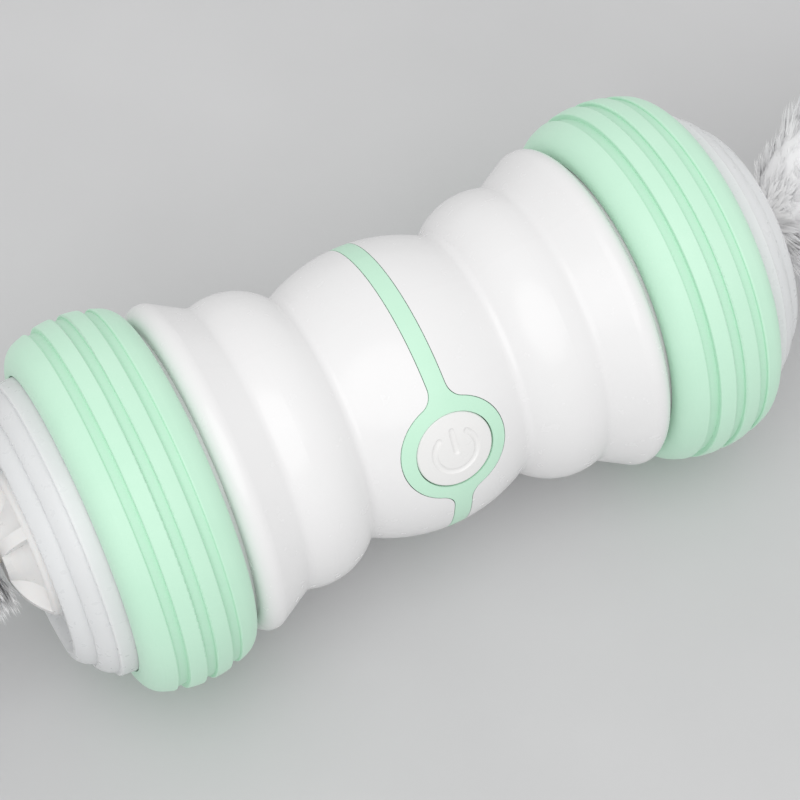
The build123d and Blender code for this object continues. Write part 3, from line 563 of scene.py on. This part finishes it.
def add_blade(verts, faces, tuft, number, draw):
    """One soft blade of a tuft: a narrow crowned strip that tapers to a point."""
    fan = blade_fan * ((2 * number + 1) / blade_count - 1)
    fan = fan + math.radians(draw.uniform(-fan_scatter, fan_scatter))
    span = tuft.span * draw.uniform(*blade_range)
    lift = draw.uniform(-blade_lift, blade_lift)
    place = tuft.root
    rows = []
    for step, heading in enumerate(tuft.headings):
        flat = (tuft.sidelong - heading.dot(tuft.sidelong) * heading).normalized()
        way = math.cos(fan) * heading + math.sin(fan) * flat
        side = math.cos(fan) * flat - math.sin(fan) * heading
        out = side.cross(way)
        half = blade_width / 2 * curve_value(blade_taper, step / tuft_steps)
        rows.append(len(verts))
        verts.extend((place - half * side, place + half * blade_crown * out, place + half * side))
        place = place + (way + lift * out) * (span / tuft_steps)
    tip = len(verts)
    verts.append(place)
    for lower, upper in zip(rows, rows[1:]):
        faces.append((lower, lower + 1, upper + 1, upper))
        faces.append((lower + 1, lower + 2, upper + 2, upper + 1))
    last = rows[-1]
    faces.append((last, last + 1, tip))
    faces.append((last + 1, last + 2, tip))


def add_barbule(verts, faces, tuft, number, draw):
    """One fine flat fibre that leaves the tuft's middle line and closes in towards its tip."""
    share = barbule_last * (number + draw.random()) / barbule_count
    place = share * tuft_steps
    index = min(int(place), tuft_steps - 1)
    start = tuft.line[index].lerp(tuft.line[index + 1], place - index)
    along = (tuft.line[index + 1] - tuft.line[index]).normalized()
    first, second = side_axes(along)
    roll = draw.uniform(0, 2 * math.pi)
    out = math.cos(roll) * first + math.sin(roll) * second
    scale = lerp(barbule_least, 1.0, min(tuft.fullness, 1.0))
    half = scale * barbule_length * curve_value(barbule_reach, share) * draw.uniform(*barbule_range) / 2
    open_angle = math.radians(lerp(*barbule_open, share) + draw.uniform(-open_scatter, open_scatter))
    close_angle = open_angle * draw.uniform(*barbule_close)
    knee = start + half * (math.cos(open_angle) * along + math.sin(open_angle) * out)
    tip = knee + half * (math.cos(close_angle) * along + math.sin(close_angle) * out)
    first_tilt = draw.uniform(-facing_scatter, facing_scatter)
    second_tilt = draw.uniform(-facing_scatter, facing_scatter)
    facing = (tuft.radial + first_tilt * first + second_tilt * second).normalized()
    flat = (tip - start).cross(facing).normalized() * (barbule_width / 2)
    knee_flat = barbule_knee_width * flat
    base = len(verts)
    verts.extend((start - flat, start + flat, knee - knee_flat, knee + knee_flat, tip))
    faces.append((base, base + 1, base + 3, base + 2))
    faces.append((base + 2, base + 3, base + 4))


def make_stage():
    """Plain pale floor under the wheels."""
    bpy.ops.mesh.primitive_plane_add(size=floor_size, location=(0, 0, 0))
    floor = bpy.context.object
    floor.name = "floor"
    made = Finish("floor_card", Specular_IOR_Level=0.3)
    made.colour(made.tones(made.noise(grain=60.0), *floor_tones))
    made.rough(made.spread(made.noise(grain=8.0), low=0.55, high=0.65))
    made.relief((made.noise(grain=0.6), 0.01))
    floor.data.materials.append(made.material)


def make_light():
    """White surroundings, and one large soft lamp over the front."""
    world = bpy.data.worlds.new("studio")
    world.use_nodes = True
    background = world.node_tree.nodes["Background"]
    background.inputs["Color"].default_value = (*world_colour, 1.0)
    background.inputs["Strength"].default_value = world_strength
    bpy.context.scene.world = world

    lamp = bpy.data.lights.new("key", "AREA")
    lamp.shape = "DISK"
    lamp.size = key_size
    lamp.energy = key_watts
    key = bpy.data.objects.new("key", lamp)
    key.location = key_place
    key.rotation_euler = (key_aim - key_place).to_track_quat("-Z", "Y").to_euler()
    bpy.context.scene.collection.objects.link(key)


def make_camera():
    """Camera at the photograph's viewing angle."""
    data = bpy.data.cameras.new("camera")
    data.lens = camera_lens
    data.sensor_width = camera_sensor
    data.clip_start = camera_clip_start
    camera = bpy.data.objects.new("camera", data)
    back = Vector((math.sin(camera_azimuth) * math.cos(camera_elevation),
                   -math.cos(camera_azimuth) * math.cos(camera_elevation), math.sin(camera_elevation)))
    camera.location = camera_target + camera_distance * back
    camera.rotation_euler = (-back).to_track_quat("-Z", "Y").to_euler()
    bpy.context.scene.collection.objects.link(camera)
    bpy.context.scene.camera = camera


materials = make_materials()
dress_nodes(materials)
for side in SIDES:
    make_plume(side, materials)
make_stage()
make_light()
make_camera()
bpy.context.scene.view_settings.view_transform = "Standard"
